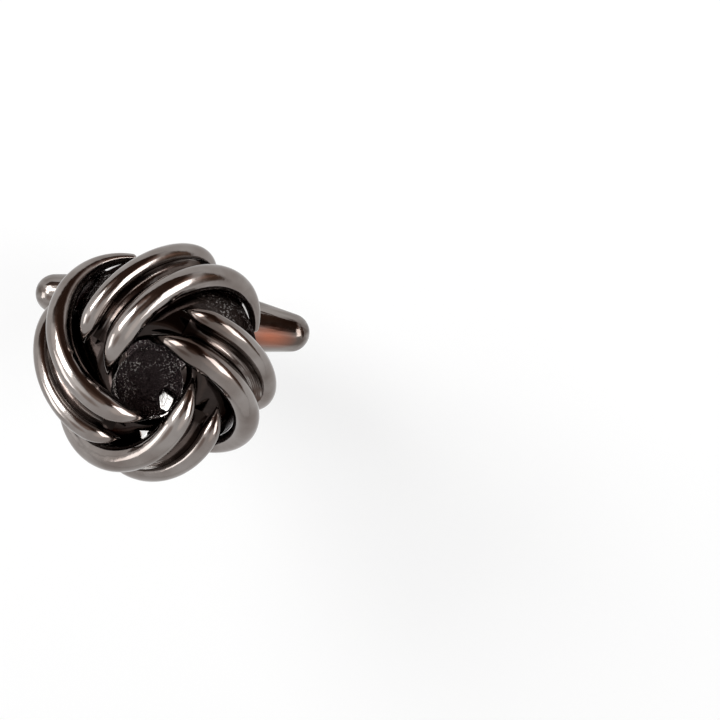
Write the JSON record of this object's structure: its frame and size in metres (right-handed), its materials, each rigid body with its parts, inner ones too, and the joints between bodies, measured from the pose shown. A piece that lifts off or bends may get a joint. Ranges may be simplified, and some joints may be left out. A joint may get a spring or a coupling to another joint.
{
  "type": "knot cufflink with swivelling bullet toggle",
  "caption": "Gunmetal cufflink with a woven knot of tapered strands over a well, on a two-legged post whose bullet toggle turns in line to pass a buttonhole.",
  "frame": {"origin": "centre of the back plate's rear face, which lies on the cuff", "axes": "+Z along the post from the cuff to the knot's face; at rest the toggle lies along X and its hinge pin along Y"},
  "size_m": [0.0194, 0.0158, 0.0223],
  "materials": {
    "gunmetal": "polished",
    "rough_cast": "rough",
    "spring_steel": "satin"
  },
  "bodies": {
    "knot_side": {"inner_strand_1": "gunmetal", "inner_strand_2": "gunmetal", "inner_strand_3": "gunmetal", "inner_strand_4": "gunmetal", "outer_strand_1": "gunmetal", "outer_strand_2": "gunmetal", "outer_strand_3": "gunmetal", "outer_strand_4": "gunmetal", "pair_web_1": "gunmetal", "pair_web_2": "gunmetal", "pair_web_3": "gunmetal", "pair_web_4": "gunmetal", "knot_core": "rough_cast", "back_plate": "gunmetal", "post_frame": "gunmetal", "frame_rivet": "gunmetal", "hinge_pin": "gunmetal"},
    "toggle": {"toggle_shell_upper": "gunmetal", "toggle_shell_lower": "gunmetal", "detent_spring": "spring_steel"}
  },
  "joints": [
    {"name": "toggle_hinge", "type": "hinge", "parent": "knot_side", "child": "toggle", "pos_m": [0, 0, -0.0104], "axis": [0, 1, 0], "range_deg": [-90, 90]}
  ]
}
